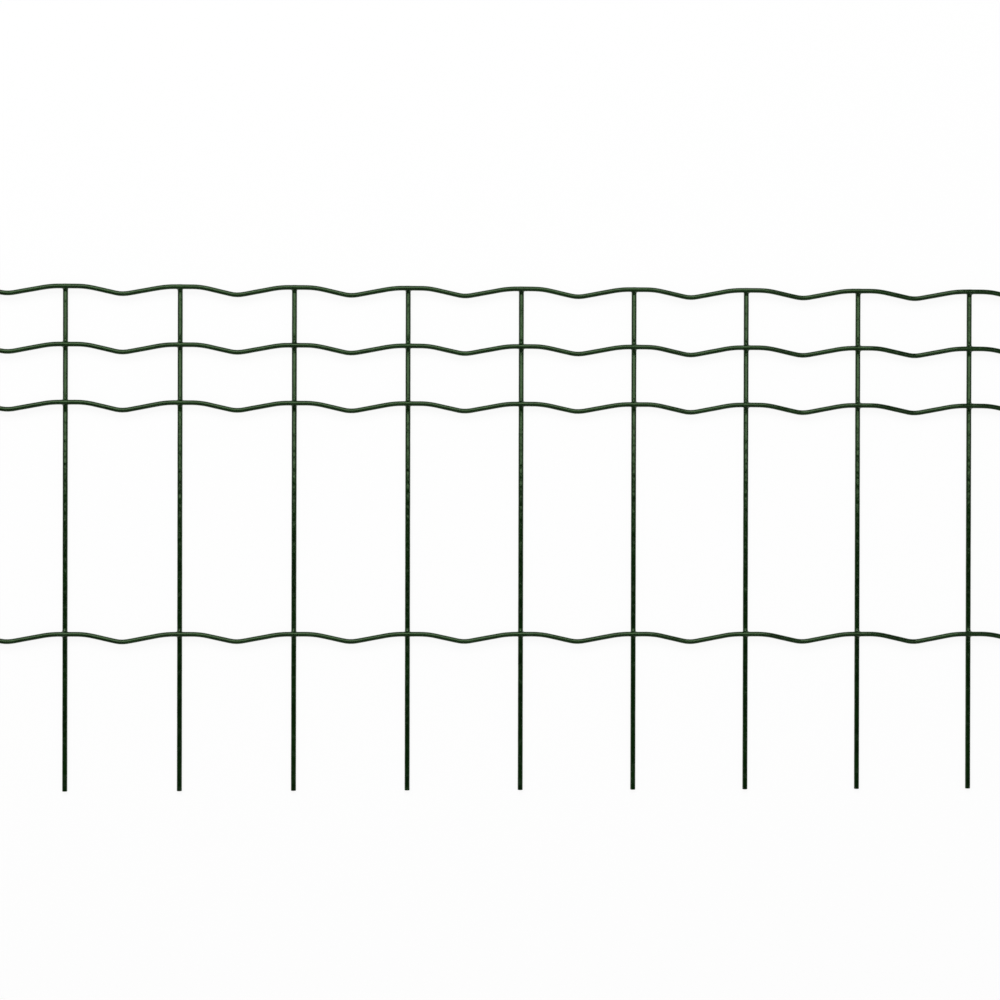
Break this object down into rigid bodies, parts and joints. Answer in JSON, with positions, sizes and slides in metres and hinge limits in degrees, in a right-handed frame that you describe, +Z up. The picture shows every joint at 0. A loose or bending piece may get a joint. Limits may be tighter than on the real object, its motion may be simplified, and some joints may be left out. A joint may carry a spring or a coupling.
{
  "type": "welded wire fencing",
  "caption": "Flat length of welded wire fencing: crimped line wires on straight cross wires, close rows along one edge and free prongs along the other.",
  "frame": {"origin": "centre of the sheet's footprint, on the plane that it lies on", "axes": "+X along the line wires, +Y towards the close rows, +Z up from the cross wires to the line wires"},
  "size_m": [1, 0.2224, 0.0039],
  "materials": {
    "green_coat": "satin"
  },
  "bodies": {
    "root": {"welded_mesh": "green_coat"}
  },
  "joints": []
}
